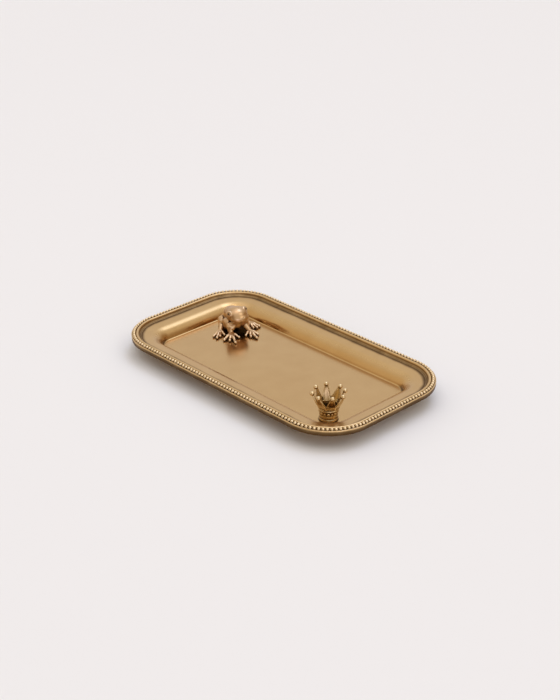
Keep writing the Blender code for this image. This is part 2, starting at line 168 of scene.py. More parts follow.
# %% [markdown]
# ## Floor, world and lamp
#
# Brass shows little colour of its own. What the eye sees is the room in it, so the
# room is part of the finish. The world here is a pale even sky with soft round
# patches on it. The first four are warmer and darker, low down, where a room has its
# table and its walls. The others are bright: they lay the cream stripe along the
# rounded shoulder and the shine on the figures. One small softbox hangs overhead.

# %% Make the pale floor
FLOOR_SIZE = 60.0
FLOOR_COLOUR = (0.80, 0.77, 0.72, 1.0)


def mesh_of(name, bm):
    """Writes the mesh under work into a new mesh, and lets go of it."""
    mesh = bpy.data.meshes.new(name)
    bm.to_mesh(mesh)
    bm.free()
    return mesh


bm = bmesh.new()
bmesh.ops.create_grid(bm, x_segments=1, y_segments=1, size=FLOOR_SIZE / 2)
floor = put_in_scene("floor", mesh_of("floor", bm))
floor_material, tree, shader = new_material("pale_floor")
fill(tree, shader, {"Base Color": FLOOR_COLOUR, "Roughness": 0.9, "Specular IOR Level": 0.1})
floor.data.materials.append(floor_material)
floor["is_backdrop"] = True
print("floor:", FLOOR_SIZE, "m square")

# %% Light the studio
SKY_LIGHT = (0.92, 0.91, 0.91, 1.0)
SKY_PATCHES = (
    # azimuth, elevation, edge and full middle in degrees, how it is laid on, colour
    (-135, 0, 62, 8, "MIX", (0.90, 0.78, 0.62)),
    (0, -90, 110, 88, "MIX", (0.76, 0.61, 0.44)),
    (-88, 22, 36, 12, "MIX", (0.42, 0.31, 0.21)),
    (60, -6, 58, 18, "MIX", (0.46, 0.31, 0.17)),
    (0, 90, 42, 6, "ADD", (0.38, 0.38, 0.50)),
    (93, 64, 15, 3, "ADD", (1.9, 2.4, 3.8)),
    (113, 53, 12, 2, "ADD", (0.75, 1.05, 1.7)),
    (130, 58, 16, 3, "ADD", (0.30, 0.38, 0.50)),
    (24, 45, 17, 4, "ADD", (1.3, 1.25, 1.2)),
    (-28, 10, 17, 6, "ADD", (1.3, 1.4, 2.2)),
)
SOFTBOX_WAY = (110, 84)
SOFTBOX_SIDE = 0.22
SOFTBOX_DISTANCE = 1.2
SOFTBOX_RADIANCE = 2.2


def sky_direction(azimuth, elevation):
    azimuth, elevation = math.radians(azimuth), math.radians(elevation)
    return Vector((math.cos(azimuth) * math.cos(elevation),
                   math.sin(azimuth) * math.cos(elevation), math.sin(elevation)))


world = bpy.data.worlds.new("studio")
bpy.context.scene.world = world
world.use_nodes = True
tree = world.node_tree
sky = add_node(tree, "TexCoord").outputs["Generated"]
light = SKY_LIGHT
for azimuth, elevation, edge, middle, kind, colour in SKY_PATCHES:
    near = add_node(tree, "VectorMath", {0: sky, 1: sky_direction(azimuth, elevation)},
                    operation="DOT_PRODUCT").outputs["Value"]
    share = remap(tree, near, math.cos(math.radians(edge)), math.cos(math.radians(middle)),
                  kind="SMOOTHERSTEP")
    light = mixed(tree, share, light, (*colour, 1.0), kind)
tree.links.new(light, tree.nodes["Background"].inputs["Color"])

lamp = bpy.data.lights.new("top_softbox", "AREA")
lamp.shape = "SQUARE"
lamp.size = SOFTBOX_SIDE
lamp.energy = SOFTBOX_RADIANCE * math.pi * SOFTBOX_SIDE * SOFTBOX_SIDE
softbox = put_in_scene("top_softbox", lamp)
softbox.location = sky_direction(*SOFTBOX_WAY) * SOFTBOX_DISTANCE
softbox.rotation_euler = softbox.location.to_track_quat("Z", "Y").to_euler()
print(len(SKY_PATCHES), "patches on the sky, and one softbox", SOFTBOX_SIDE, "m square")

# %% [markdown]
# ## Brass that has aged
#
# Old brass is bright where hands and cloths reach it, and brown where they do not.
# So each mesh carries a number at every point. It is 0 on open surfaces, 1 deep in a
# groove and negative where a casting stands proud. On several pieces the same number
# also carries painted shade, painted shadow and a painted reflection, and these take
# the dark colour of the patina. The finish mixes clean metal with that dark colour by
# the number, and broad noise breaks the border up so that it looks grown. Proud places
# can be worn paler, and on the figures this paler colour is also a painted highlight.
# A thin coat of lacquer is left on the clean metal alone. Fine noise gives the satin
# grain in the roughness and in a very low bump, and the pan's flange is brushed a
# little duller.

# %% A finish for every brass piece
GRAIN_PER_M = 1500.0
GRAIN_ROUGHNESS = 0.06
GRAIN_BUMP = 0.10
BUMP_HEIGHT = 0.02 * MM
PATCHES_PER_M = 60.0
PATCH_SHARE = 0.35
PATCH_RANGE = (0.35, 0.70)
DENTS_PER_M = 28.0
WORN_AND_HIGHLIT_FROM, WORN_AND_HIGHLIT_FULLY = -0.10, -0.75
LACQUER = 0.35
LACQUER_ROUGHNESS = 0.16
BRUSHED_BAND = 5 * MM
BRUSHED_ROUGHNESS = 0.10


def brass(name, clean, warm, patina_and_shade, roughness, worn_and_highlit=None, start=0.35, full=0.85, dent_height=0.0,
          brushed_above=None):
    """Clean metal turns to patina and painted shade, and grows rougher, as the number goes from start to
    full.
    """
    material, tree, shader = new_material(name)
    place = add_node(tree, "TexCoord").outputs["Object"]
    hollow = add_node(tree, "Attribute", attribute_name="hollow").outputs["Fac"]
    patches = noise(tree, place, PATCHES_PER_M, 4.0, 0.6)
    grain = noise(tree, place, GRAIN_PER_M, 2.0)
    uneven = computed(tree, "SUBTRACT", patches, 0.5)
    uneven = computed(tree, "MULTIPLY_ADD", uneven, PATCH_SHARE, hollow)
    # Share of the dark colour: patina, and painted shade where the number carries it
    aged_and_shaded = remap(tree, uneven, start, full, kind="SMOOTHSTEP")
    metal = mixed(tree, remap(tree, patches, *PATCH_RANGE), clean, warm)
    # Paler on proud places: wear, and on the figures also a painted highlight
    if worn_and_highlit:
        metal = mixed(tree, remap(tree, hollow, WORN_AND_HIGHLIT_FROM, WORN_AND_HIGHLIT_FULLY), metal, worn_and_highlit)
    satin = remap(tree, aged_and_shaded, 0.0, 1.0, *roughness)
    if brushed_above:
        height = add_node(tree, "SeparateXYZ", {0: place}).outputs["Z"]
        brushed = remap(tree, height, brushed_above, brushed_above + BRUSHED_BAND, 0.0,
                        BRUSHED_ROUGHNESS)
        satin = computed(tree, "ADD", satin, brushed)
    relief = bumped(tree, grain, GRAIN_BUMP, BUMP_HEIGHT)
    if dent_height:
        relief = bumped(tree, noise(tree, place, DENTS_PER_M, 1.0), 1.0, dent_height, relief)
    fill(tree, shader, {
        "Base Color": mixed(tree, aged_and_shaded, metal, patina_and_shade),
        "Metallic": 1.0,
        "Roughness": computed(tree, "MULTIPLY_ADD", grain, GRAIN_ROUGHNESS, satin),
        "Normal": relief,
        "Coat Weight": remap(tree, aged_and_shaded, 0.0, 1.0, LACQUER, 0.0),
        "Coat Roughness": LACQUER_ROUGHNESS,
    })
    return material


# Dark colours for patina, and for the painted shade, shadow and reflection carried by the same number
PATINA_AND_SHADE = (0.120, 0.066, 0.026, 1.0)
DARK_PATINA_AND_SHADE = (0.050, 0.028, 0.012, 1.0)
pan_finish = brass("satin_pan_brass", (0.540, 0.336, 0.132, 1.0), (0.510, 0.308, 0.114, 1.0),
                   PATINA_AND_SHADE, (0.17, 0.50), dent_height=0.08 * MM, brushed_above=8.0 * MM)
strip_finish = brass("aged_strip_brass", (0.600, 0.395, 0.175, 1.0), (0.560, 0.360, 0.150, 1.0),
                     PATINA_AND_SHADE, (0.33, 0.55))
# The beads are a lighter copy of the strip's brass, a painted highlight on them
bead_finish = brass("painted_highlight_bead_brass", (0.78, 0.59, 0.35, 1.0), (0.70, 0.52, 0.28, 1.0), PATINA_AND_SHADE,
                    (0.24, 0.50))
# The figures' paler worn colour is also a painted highlight on toes, balls, ridges and leaf borders
frog_finish = brass("cast_frog_brass", (0.53, 0.320, 0.148, 1.0), (0.45, 0.260, 0.115, 1.0),
                    DARK_PATINA_AND_SHADE, (0.27, 0.45), worn_and_highlit=(0.70, 0.50, 0.29, 1.0), start=0.08, full=0.65)
crown_finish = brass("cast_crown_brass", (0.50, 0.345, 0.145, 1.0), (0.34, 0.215, 0.085, 1.0),
                     DARK_PATINA_AND_SHADE, (0.17, 0.42), worn_and_highlit=(0.72, 0.53, 0.28, 1.0), start=0.05, full=0.50)
print("brass finishes:", [m.name for m in bpy.data.materials if m.name.endswith("brass")])

# %% [markdown]
# ## From a mesh under work to a finished piece
#
# Every piece ends the same way. Its faces point outwards, its soft bends are shaded
# smooth and its sharp ones stay crisp. Then it rides on the part's one body and
# stands for one or more of the plain solids.

# %% Helpers that finish a piece
SOFT_BEND = math.radians(38)


def finished_piece(name, bm, material, slot, *nodes):
    mesh = mesh_of(name, bm)
    mesh.shade_smooth()
    mesh.set_sharp_from_angle(angle=SOFT_BEND)
    mesh.materials.append(material)
    piece = put_in_scene(name, mesh)
    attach(piece, "root")
    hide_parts(*nodes)
    print(name, "has", len(mesh.polygons), "faces and stands for", ", ".join(nodes))
    return piece


def worked(bm, *steps):
    """The mesh after modifiers: each step is a modifier's type and its settings."""
    mesh = mesh_of("work", bm)
    item = put_in_scene("work", mesh)
    for kind, settings in steps:
        modifier = item.modifiers.new(kind.lower(), kind)
        for name, value in settings.items():
            setattr(modifier, name, value)
    shape = item.evaluated_get(bpy.context.evaluated_depsgraph_get())
    result = bmesh.new()
    result.from_mesh(shape.to_mesh())
    shape.to_mesh_clear()
    bpy.data.objects.remove(item, do_unlink=True)
    bpy.data.meshes.remove(mesh)
    return result


def pour_in(bm, part):
    """Moves a small finished mesh into a larger one, much faster than making it there."""
    mesh = mesh_of("part", part)
    bm.from_mesh(mesh)
    bpy.data.meshes.remove(mesh)


# %% [markdown]
# ## The tray's outline
#
# The pan, the strip and the row of beads all follow one outline: a rectangle with
# round corners. A section is drawn once, as a chain of points that say how far in
# from the edge and how high they are. It is then turned 90 degrees about the first
# corner's centre, pulled along the straight side, turned again, and so on. That is
# the way a moulding is formed round a template, and it leaves no seam but the last
# one, which is merged.

# %% Carry a section round the tray
TRAY_LENGTH, TRAY_WIDTH = cad_high.x - cad_low.x, cad_high.y - cad_low.y
CORNER_RADIUS = 39.6 * MM
CORNER_STEPS = 30
MERGE_DISTANCE = 0.01 * MM
QUARTER_TURN = math.pi / 2
REACH_X = TRAY_LENGTH / 2 - CORNER_RADIUS
REACH_Y = TRAY_WIDTH / 2 - CORNER_RADIUS
CORNERS = [Vector((REACH_X * x, REACH_Y * y, 0.0)) for x, y in ((1, 1), (-1, 1), (-1, -1), (1, -1))]


def carry_round(section, closed):
    """Points are inset, height and hollow. The section starts on the first corner's arc."""
    bm = bmesh.new()
    hollow = bm.verts.layers.float.new("hollow")
    line = []
    for inset, height, depth in section:
        line.append(bm.verts.new(CORNERS[0] + Vector((CORNER_RADIUS - inset, 0.0, height))))
        line[-1][hollow] = depth
    edges = [bm.edges.new(pair) for pair in zip(line, line[1:])]
    if closed:
        edges.append(bm.edges.new((line[-1], line[0])))
    for number, centre in enumerate(CORNERS):
        swept = bmesh.ops.spin(bm, geom=line + edges, cent=centre, axis=(0.0, 0.0, 1.0),
                               angle=QUARTER_TURN, steps=CORNER_STEPS)["geom_last"]
        edges = [part for part in swept if isinstance(part, bmesh.types.BMEdge)]
        pulled = bmesh.ops.extrude_edge_only(bm, edges=edges)["geom"]
        line = [part for part in pulled if isinstance(part, bmesh.types.BMVert)]
        ends = set(line)
        edges = [part for part in pulled
                 if isinstance(part, bmesh.types.BMEdge) and ends.issuperset(part.verts)]
        bmesh.ops.translate(bm, verts=line, vec=CORNERS[(number + 1) % 4] - centre)
    bmesh.ops.remove_doubles(bm, verts=bm.verts, dist=MERGE_DISTANCE)
    bmesh.ops.recalc_face_normals(bm, faces=bm.faces)
    return bm


def middle_of(node):
    low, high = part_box(node)
    return (low + high) / 2


print("outline in mm:", round(TRAY_LENGTH / MM, 1), "by", round(TRAY_WIDTH / MM, 1))

# %% [markdown]
# ## Arcs in a section
#
# A pressed sheet has no sharp bends. Two helpers draw the bends as arcs: one about
# a known centre, and one that rounds the corner between two straight stretches. A
# third writes down small points that have been measured from some level.

# %% Arc helpers


def arc(inset, height, radius, start, end, steps, depth=0.0):
    """Points on an arc, with angles in degrees from the inward direction towards up.
    Depth is their hollow, or a rule that gives it from the share of the way along."""
    points = []
    for step in range(steps + 1):
        angle = math.radians(start + (end - start) * step / steps)
        hollow = depth(step / steps) if callable(depth) else depth
        points.append((inset + radius * math.cos(angle), height + radius * math.sin(angle), hollow))
    return points


def rounded_bend(before, corner, after, radius, steps, free_share=1.0):
    """The arc that rounds a bend, on at most this share of its shorter straight stretch."""
    corner = Vector(corner)
    back = Vector(before) - corner
    forth = Vector(after) - corner
    half = back.angle(forth) / 2
    reach = min(radius / math.tan(half), free_share * min(back.length, forth.length))
    middle = (back.normalized() + forth.normalized()).normalized()
    centre = corner + middle * (reach / math.cos(half))
    first = corner + back.normalized() * reach - centre
    last = corner + forth.normalized() * reach - centre
    turn = first.angle(last)
    points = []
    for step in range(steps + 1):
        near = math.sin(turn * (1 - step / steps)) / math.sin(turn)
        far = math.sin(turn * step / steps) / math.sin(turn)
        points.append(centre + first * near + last * far)
    return points


def from_level(level, points):
    """Points in mm: an inset or a radius, the height over a level, and any hollow."""
    return [(point[0] * MM, level + point[1] * MM, *point[2:]) for point in points]


# %% [markdown]
# ## The pan
#
# The pan is one sheet 1.3 mm thick: a narrow margin under the strip, a flange that
# slopes gently inwards, a broad rounded shoulder, a steep wall, a tight crease and
# a flat floor. Only the section of its top side is drawn here. It ends in a narrow
# flat ring beside the crease, so that the shading of the bend stays in the bend.
# The floor and the sheet's thickness come later, when the figures are there.

# %% Draw the pan's section
PAN_LOW, PAN_HIGH = (corner.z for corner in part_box("tray_pan"))
SHEET_THICKNESS = 1.3 * MM
FLOOR_TOP = PAN_LOW + SHEET_THICKNESS
PAN_EDGE_INSET = cad_high.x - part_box("tray_pan")[1].x
MARGIN = (7.7 * MM, PAN_HIGH)
FLANGE_SHARES = (0.08, 0.16, 0.26, 0.38, 0.52, 0.70)
SHOULDER = (23.0 * MM, FLOOR_TOP + 8.1 * MM)
CREASE = (26.0 * MM, FLOOR_TOP)
SHOULDER_RADIUS = 11.6 * MM
CREASE_RADIUS = 1.1 * MM
CREASE_WALL_SHARE = 0.12
FLOOR_RING = 1.2 * MM
EDGE_DARKENING = 0.90
EDGE_DARKENING_INSET = 8.1 * MM
EDGE_DARKENING_FALL = 0.16 / MM
CREASE_PATINA = 0.40
CREASE_PATINA_REACH = 1.6 * MM

shoulder_arc = rounded_bend(MARGIN, SHOULDER, CREASE, SHOULDER_RADIUS, 20, 1 - CREASE_WALL_SHARE)
crease_arc = rounded_bend(SHOULDER, CREASE, (TRAY_WIDTH / 2, FLOOR_TOP), CREASE_RADIUS, 8,
                          CREASE_WALL_SHARE)
flange_run = shoulder_arc[0] - Vector(MARGIN)
flange = [Vector(MARGIN) + flange_run * share for share in FLANGE_SHARES]
pan_line = [(PAN_EDGE_INSET, PAN_HIGH), MARGIN, *flange, *shoulder_arc, *crease_arc]
pan_line.append((crease_arc[-1][0] + FLOOR_RING, FLOOR_TOP))


def pan_hollow(inset):
    """Darker beside the strip, and patina, less of it, gathers at the foot of the wall."""
    beside_strip = EDGE_DARKENING - EDGE_DARKENING_FALL * max(0.0, inset - EDGE_DARKENING_INSET)
    at_crease = 1.0 - abs(inset - CREASE[0]) / CREASE_PATINA_REACH
    return max(0.0, beside_strip, CREASE_PATINA * at_crease)


pan_section = [(inset, height, pan_hollow(inset)) for inset, height in pan_line]
print("the pan's section has", len(pan_section), "points")

# %% [markdown]
# ## The strip round the rim
#
# The strip is a moulding: a short skirt outside, a narrow ledge, a channel that holds
# the beads, and a smooth narrow roll close beside them. From the roll a darker cove
# falls to the flange, and ends at a very fine foot bead. The skirt's brown is a
# painted reflection of a dark table in shade, and the channel and the roll's flank
# next to the beads are painted shade. The section is a closed chain, so that the
# strip is solid metal once it has been carried round.

# %% Draw the strip's section
STRIP_LOW, STRIP_HIGH = (corner.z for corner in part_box("rim_moulding"))
BEAD_HEIGHT = middle_of("bead_wire").z
BEAD_INSET = 2.25 * MM
CHANNEL_RADIUS = 1.5 * MM
ROLL_INSET = 4.9 * MM
ROLL_RADIUS = 1.25 * MM
ROLL_HEIGHT = STRIP_HIGH + 0.40 * MM - ROLL_RADIUS
STRIP_SEAT = PAN_HIGH + 0.05 * MM
SKIRT_THICKNESS = 1.4 * MM
FOOT_BEAD_INSET = 7.75 * MM
FOOT_BEAD_RADIUS = 0.35 * MM
# Points of the section: inset and height in mm, and hollow
# The skirt's high numbers, darker towards its foot, are a painted reflection of a dark table in shade
SKIRT_EDGE = ((0.32, 0.25, 1.0), (0.22, 0.70, 0.85))
LEDGE = ((0.0, -1.1, 0.70), (0.0, -0.45, 0.45), (0.12, -0.12, 0.1), (0.38, 0.0, 0.0), (0.75, -0.02, 0.1))
ROLL_FOOT_HOLLOWS = (0.35, 0.52, 0.62)
COVE = ((6.30, 0.95, 0.62), (6.65, 0.42, 0.62), (7.05, 0.12, 0.68), (7.35, 0.0, 1.0))

# The channel under the beads and the roll's flank next to them are painted shade
channel = arc(BEAD_INSET, BEAD_HEIGHT, CHANNEL_RADIUS, 192, 345, 10,
              depth=lambda way: 0.15 + 0.65 * math.sin(math.pi * way))
roll = arc(ROLL_INSET, ROLL_HEIGHT, ROLL_RADIUS, 165, 28, 14,
           depth=lambda way: max(0.0, 0.85 - 1.4 * way))
roll_foot = arc(ROLL_INSET, ROLL_HEIGHT, ROLL_RADIUS, 16, -8, 2)
roll_foot = [(*point[:2], depth) for point, depth in zip(roll_foot, ROLL_FOOT_HOLLOWS)]
foot_bead = arc(FOOT_BEAD_INSET, STRIP_SEAT - 0.1 * MM, FOOT_BEAD_RADIUS, 172, 0, 8, depth=0.60)
strip_section = [
    *from_level(STRIP_LOW, SKIRT_EDGE),
    *from_level(channel[0][1], LEDGE),
    *channel[1:],
    *roll,
    *roll_foot,
    *from_level(STRIP_SEAT, COVE),
    *foot_bead,
    # The inside of the skirt is painted shade
    (SKIRT_THICKNESS, STRIP_SEAT - 0.05 * MM, 1.0),
    (SKIRT_THICKNESS, STRIP_LOW + 0.2 * MM, 0.8),
    (SKIRT_THICKNESS - 0.25 * MM, STRIP_LOW, 0.6),
    (0.55 * MM, STRIP_LOW, 0.6),
]
finished_piece("beaded_strip", carry_round(strip_section, closed=True), strip_finish, "aged_brass",
               "rim_moulding")

# %% [markdown]
# ## The row of beads
#
# Beading wire is a plain wire pressed into balls at an even pitch. Each ball here is
# a coarse sphere, because there are over 200 of them and each is only 2.7 mm across.
# The wire between them is a section as before, carried round the tray, and it is
# painted shade between the beads. The number is low on the tops, which are worn
# bright, and high below, which is painted shade.

# %% Thread the beads on their wire
BEAD_RADIUS = 1.37 * MM
BEAD_PITCH = 3.2 * MM
WIRE_RADIUS = 0.55 * MM


def spoke(angle):
    return Vector((math.cos(angle), math.sin(angle), 0.0))


def places_along(inset, pitch):
    """Places at an even pitch along the outline: each one's middle and the way it faces."""
    radius = CORNER_RADIUS - inset
    bend = radius * QUARTER_TURN
    runs = [bend, 2 * REACH_X, bend, 2 * REACH_Y] * 2
    count = round(sum(runs) / pitch)
    places = []
    for number in range(count):
        way = sum(runs) * number / count
        run = 0
        while way >= runs[run]:
            way -= runs[run]
            run += 1
        corner, is_straight = divmod(run, 2)
        if is_straight:
            heading = QUARTER_TURN * (corner + 1)
            along = way * spoke(heading + QUARTER_TURN)
        else:
            heading = QUARTER_TURN * corner + way / radius
            along = Vector()
        places.append((CORNERS[corner] + radius * spoke(heading) + along, heading))
    return places


ball = bmesh.new()
hollow = ball.verts.layers.float.new("hollow")
bmesh.ops.create_uvsphere(ball, u_segments=10, v_segments=6, radius=BEAD_RADIUS)
# Each bead is darker downwards: worn bright on top, painted shade below
for vert in ball.verts:
    vert[hollow] = min(0.8, max(0.0, 0.12 - 0.7 * vert.co.z / BEAD_RADIUS))
ball_mesh = mesh_of("ball", ball)

# The wire's high number is painted shade between the beads
bm = carry_round(arc(BEAD_INSET, BEAD_HEIGHT, WIRE_RADIUS, 0, 315, 7, depth=0.92), closed=True)
bead_places = places_along(BEAD_INSET, BEAD_PITCH)
for place, heading in bead_places:
    bead = ball_mesh.copy()
    bead.transform(Matrix.Translation(place + Vector((0.0, 0.0, BEAD_HEIGHT)))
                   @ Matrix.Rotation(heading, 4, "Z"))
    bm.from_mesh(bead)
    bpy.data.meshes.remove(bead)
bpy.data.meshes.remove(ball_mesh)
finished_piece("bead_row", bm, bead_finish, "bead_brass", "bead_wire")
print(len(bead_places), "beads at a pitch of", BEAD_PITCH / MM, "mm")

# %% [markdown]
# ## How deep each point of a casting lies
#
# Patina needs to know where the hollows of a casting are. The mesh is relaxed many
# times, each point moving to the mean of its neighbours, until it is a soft blob of
# the same form. Where the blob lies outside the true surface, the surface is hollow,
# and where it lies inside, the surface stands proud. NumPy does this to all points
# at once, on a copy, and the casting keeps its own shape.

# %% Measure hollows with NumPy


def relax(places, edges, rounds):
    count = np.bincount(edges.ravel(), minlength=len(places)).astype(float)
    for _ in range(rounds):
        total = np.zeros_like(places)
        for axis in range(3):
            total[:, axis] = (np.bincount(edges[:, 0], places[edges[:, 1], axis], len(places))
                              + np.bincount(edges[:, 1], places[edges[:, 0], axis], len(places)))
        places = 0.5 * places + 0.5 * total / np.maximum(count, 1)[:, None]
    return places


def write_hollows_and_shade(bm, fine, broad, extra=None):
    """Fine and broad are pairs: rounds of relaxing, and the depth that counts as 1.
    Extra gives the least number a point has, from its place and the way it faces, as painted shade."""
    bm.normal_update()
    bm.verts.index_update()
    places = np.array([vert.co for vert in bm.verts])
    normals = np.array([vert.normal for vert in bm.verts])
    edges = np.array([[vert.index for vert in edge.verts] for edge in bm.edges])
    depth = np.zeros(len(places))
    for rounds, full in (fine, broad):
        soft = relax(places, edges, rounds)
        depth += np.einsum("ij,ij->i", soft - places, normals) / full
    layer = bm.verts.layers.float.new("hollow")
    for vert, value in zip(bm.verts, np.clip(depth, -1.0, 1.0)):
        if extra:
            value = max(value, extra(vert.co, vert.normal))
        vert[layer] = float(min(1.0, value))
    print("hollow runs from", round(depth.min(), 2), "to", round(depth.max(), 2))


# %% [markdown]
# ## The frog
#
# The frog was modelled in wax and cast. Wax is worked by pressing lumps together and
# smoothing the joins, and this mesh is made the same way: egg-shaped lumps for the
# body, tapered limbs with a ball at each joint, and four toes on every foot. A voxel
# remesh fuses them into one skin and a smooth step softens the joins, first coarsely
# for the body alone and then finely with the limbs on it. Places and sizes are
# shares of the frog's length, measured from its seat, with x ahead and y to its left.

# %% Shape the frog's body
FROG_LENGTH = 40.0 * MM
FROG_HEADING = math.radians(-17)
FROG_SEAT = Vector((cad_low.x + 53.0 * MM, cad_high.y - 50.85 * MM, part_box("frog_figure")[0].z))
BODY_LUMPS = (
    # centre x, y, z, then radius x, y, z, then pitch in degrees, nose down positive
    (-0.20, 0.00, 0.310, 0.280, 0.190, 0.175, -16),
    (-0.35, 0.00, 0.120, 0.185, 0.235, 0.165, 0),
    (-0.20, -0.260, 0.135, 0.085, 0.050, 0.100, 0),
    (-0.20, 0.260, 0.135, 0.085, 0.050, 0.100, 0),
    (-0.07, -0.200, 0.170, 0.150, 0.085, 0.125, 0),
    (-0.07, 0.200, 0.170, 0.150, 0.085, 0.125, 0),
    (0.00, 0.00, 0.390, 0.215, 0.235, 0.150, 6),
    (0.10, 0.01, 0.350, 0.150, 0.215, 0.100, 6),
    (0.03, 0.02, 0.240, 0.170, 0.205, 0.120, 0),
    (0.06, -0.165, 0.155, 0.125, 0.110, 0.080, 0),
    (0.06, 0.165, 0.165, 0.105, 0.085, 0.080, 0),
    (0.02, 0.000, 0.170, 0.140, 0.190, 0.100, 0),
)
EYE_LUMPS = (
    (0.04, -0.180, 0.435, 0.080, 0.072, 0.074, 0),
    (-0.01, 0.165, 0.450, 0.080, 0.076, 0.072, 0),
)
BODY_VOXEL = 0.55 * MM


def add_lump(bm, x, y, z, radius_x, radius_y, radius_z, pitch):
    place = Matrix.Translation(Vector((x, y, z)) * FROG_LENGTH)
    tilt = Matrix.Rotation(math.radians(pitch), 4, "Y")
    size = Matrix.Diagonal((radius_x, radius_y, radius_z)).to_4x4()
    bmesh.ops.create_uvsphere(bm, u_segments=32, v_segments=20, radius=FROG_LENGTH,
                              matrix=place @ tilt @ size)


bm = bmesh.new()
for lump in BODY_LUMPS:
    add_lump(bm, *lump)
frog_bm = worked(bm, ("REMESH", {"mode": "VOXEL", "voxel_size": BODY_VOXEL}),
                 ("SMOOTH", {"factor": 0.5, "iterations": 10}))
print("the frog's body has", len(frog_bm.faces), "faces")

# %% Add its eyes, legs and toes
LEGS = (
    # joints from the body to the palm: x, y, z and radius
    ((-0.35, -0.18, 0.14, 0.095), (-0.13, -0.300, 0.115, 0.054), (-0.05, -0.360, 0.055, 0.046)),
    ((-0.35, 0.18, 0.16, 0.095), (-0.18, 0.315, 0.13, 0.058), (-0.13, 0.345, 0.055, 0.048)),
    ((0.05, -0.19, 0.165, 0.078), (0.10, -0.210, 0.13, 0.062), (0.170, -0.208, 0.062, 0.052)),
    ((0.03, 0.17, 0.18, 0.080), (0.14, 0.140, 0.14, 0.066), (0.225, 0.180, 0.062, 0.056)),
)
TOE_TIPS = (
    # seen from above, four for each of those legs
    ((0.060, -0.560), (0.165, -0.535), (0.120, -0.440), (0.100, -0.335)),
    ((-0.015, 0.270), (0.078, 0.345), (0.100, 0.425), (0.062, 0.500)),
    ((0.348, -0.115), (0.540, -0.285), (0.400, -0.350), (0.320, -0.440)),
    ((0.335, 0.050), (0.430, 0.120), (0.538, 0.205), (0.395, 0.300)),
)
TOE_ROOT = 0.043
TOE_SHAFT = 0.0275
TOE_KNUCKLE = 0.0315
TOE_TIP = 0.0290
KNUCKLE_RISE = 0.016
FROG_VOXEL = 0.26 * MM


def add_limb(bm, joints):
    """A ball at each joint and a tapered stretch between each two of them."""
    joints = [(Vector(joint[:3]) * FROG_LENGTH, joint[3] * FROG_LENGTH) for joint in joints]
    for centre, radius in joints:
        bmesh.ops.create_uvsphere(bm, u_segments=16, v_segments=12, radius=radius,
                                  matrix=Matrix.Translation(centre))
    for (start, thick), (end, thin) in zip(joints, joints[1:]):
        span = end - start
        turn = span.to_track_quat("Z", "Y").to_matrix().to_4x4()
        bmesh.ops.create_cone(bm, cap_ends=True, segments=16, radius1=thick, radius2=thin,
                              depth=span.length, matrix=Matrix.Translation((start + end) / 2) @ turn)


def toe_joints(palm, tip):
    """From the palm over a low knuckle to a round tip that rests on the floor."""
    root = Vector(palm[:3])
    end = Vector((*tip, 0.024))
    knuckle = root.lerp(end, 0.52) + Vector((0.0, 0.0, KNUCKLE_RISE))
    shaft = root.lerp(end, 0.80)
    return ((*root, TOE_ROOT), (*knuckle, TOE_KNUCKLE), (*shaft, TOE_SHAFT), (*end, TOE_TIP))


for lump in EYE_LUMPS:
    eye = bmesh.new()
    add_lump(eye, *lump)
    pour_in(frog_bm, eye)
for leg, tips in zip(LEGS, TOE_TIPS):
    for joints in (leg, *(toe_joints(leg[-1], tip) for tip in tips)):
        limb = bmesh.new()
        add_limb(limb, joints)
        pour_in(frog_bm, limb)
frog_bm = worked(frog_bm, ("REMESH", {"mode": "VOXEL", "voxel_size": FROG_VOXEL}),
                 ("SMOOTH", {"factor": 0.5, "iterations": 9}))
print("the fused frog has", len(frog_bm.faces), "faces")

# %% [markdown]
# ## The frog's face
#
# A wide mouth, two bulging eyes with a fold round each, and two nostrils make the
# face. They are cut into the fused skin the way a modelling tool is drawn through
# wax: points near the line are pushed in along their normals, and the points just
# beside it are raised a little, which leaves a soft lip.

# %% Cut the mouth, the eyes and the nostrils
MOUTH_CUTS = (
    # where it runs, how far it moves the surface and how broad it is, in frog's lengths
    (0.0, -0.0150, 0.010), (0.026, 0.0055, 0.016), (-0.026, 0.0035, 0.016),
)
EYE_CUTS = ((0.030, -0.008, 0.014), (0.056, 0.005, 0.012))
NOSTRIL_CUTS = ((0.0, -0.007, 0.012),)
NOSTRILS = (Vector((0.222, -0.052, 0.385)), Vector((0.222, 0.052, 0.385)))
EYES = (
    # centre of the eyeball and the way it faces
    (Vector((0.075, -0.215, 0.462)), Vector((0.50, -0.75, 0.42)).normalized()),
    (Vector((0.025, 0.200, 0.480)), Vector((0.50, 0.75, 0.42)).normalized()),
)
EYE_BACK = -0.06
EYE_REACH = 0.09


def smooth_step(value, low, high):
    share = min(1.0, max(0.0, (value - low) / (high - low)))
    return share * share * (3 - 2 * share)


def bell(distance, width):
    return math.exp(-(distance / width) ** 2)


def pushed(distance, cuts):
    return sum(depth * bell(distance - where, width) for where, depth, width in cuts)


def mouth_height(y):
    """The mouth line sags from the middle of the snout to its corners."""
    return 0.300 - 0.95 * y * y


def beside_eye(here, centre, facing):
    """How far a point is from the line that the eye looks along, if it isn't behind it."""
    out = here - centre
    along = out.dot(facing)
    return (out - along * facing).length if along > EYE_BACK else math.inf


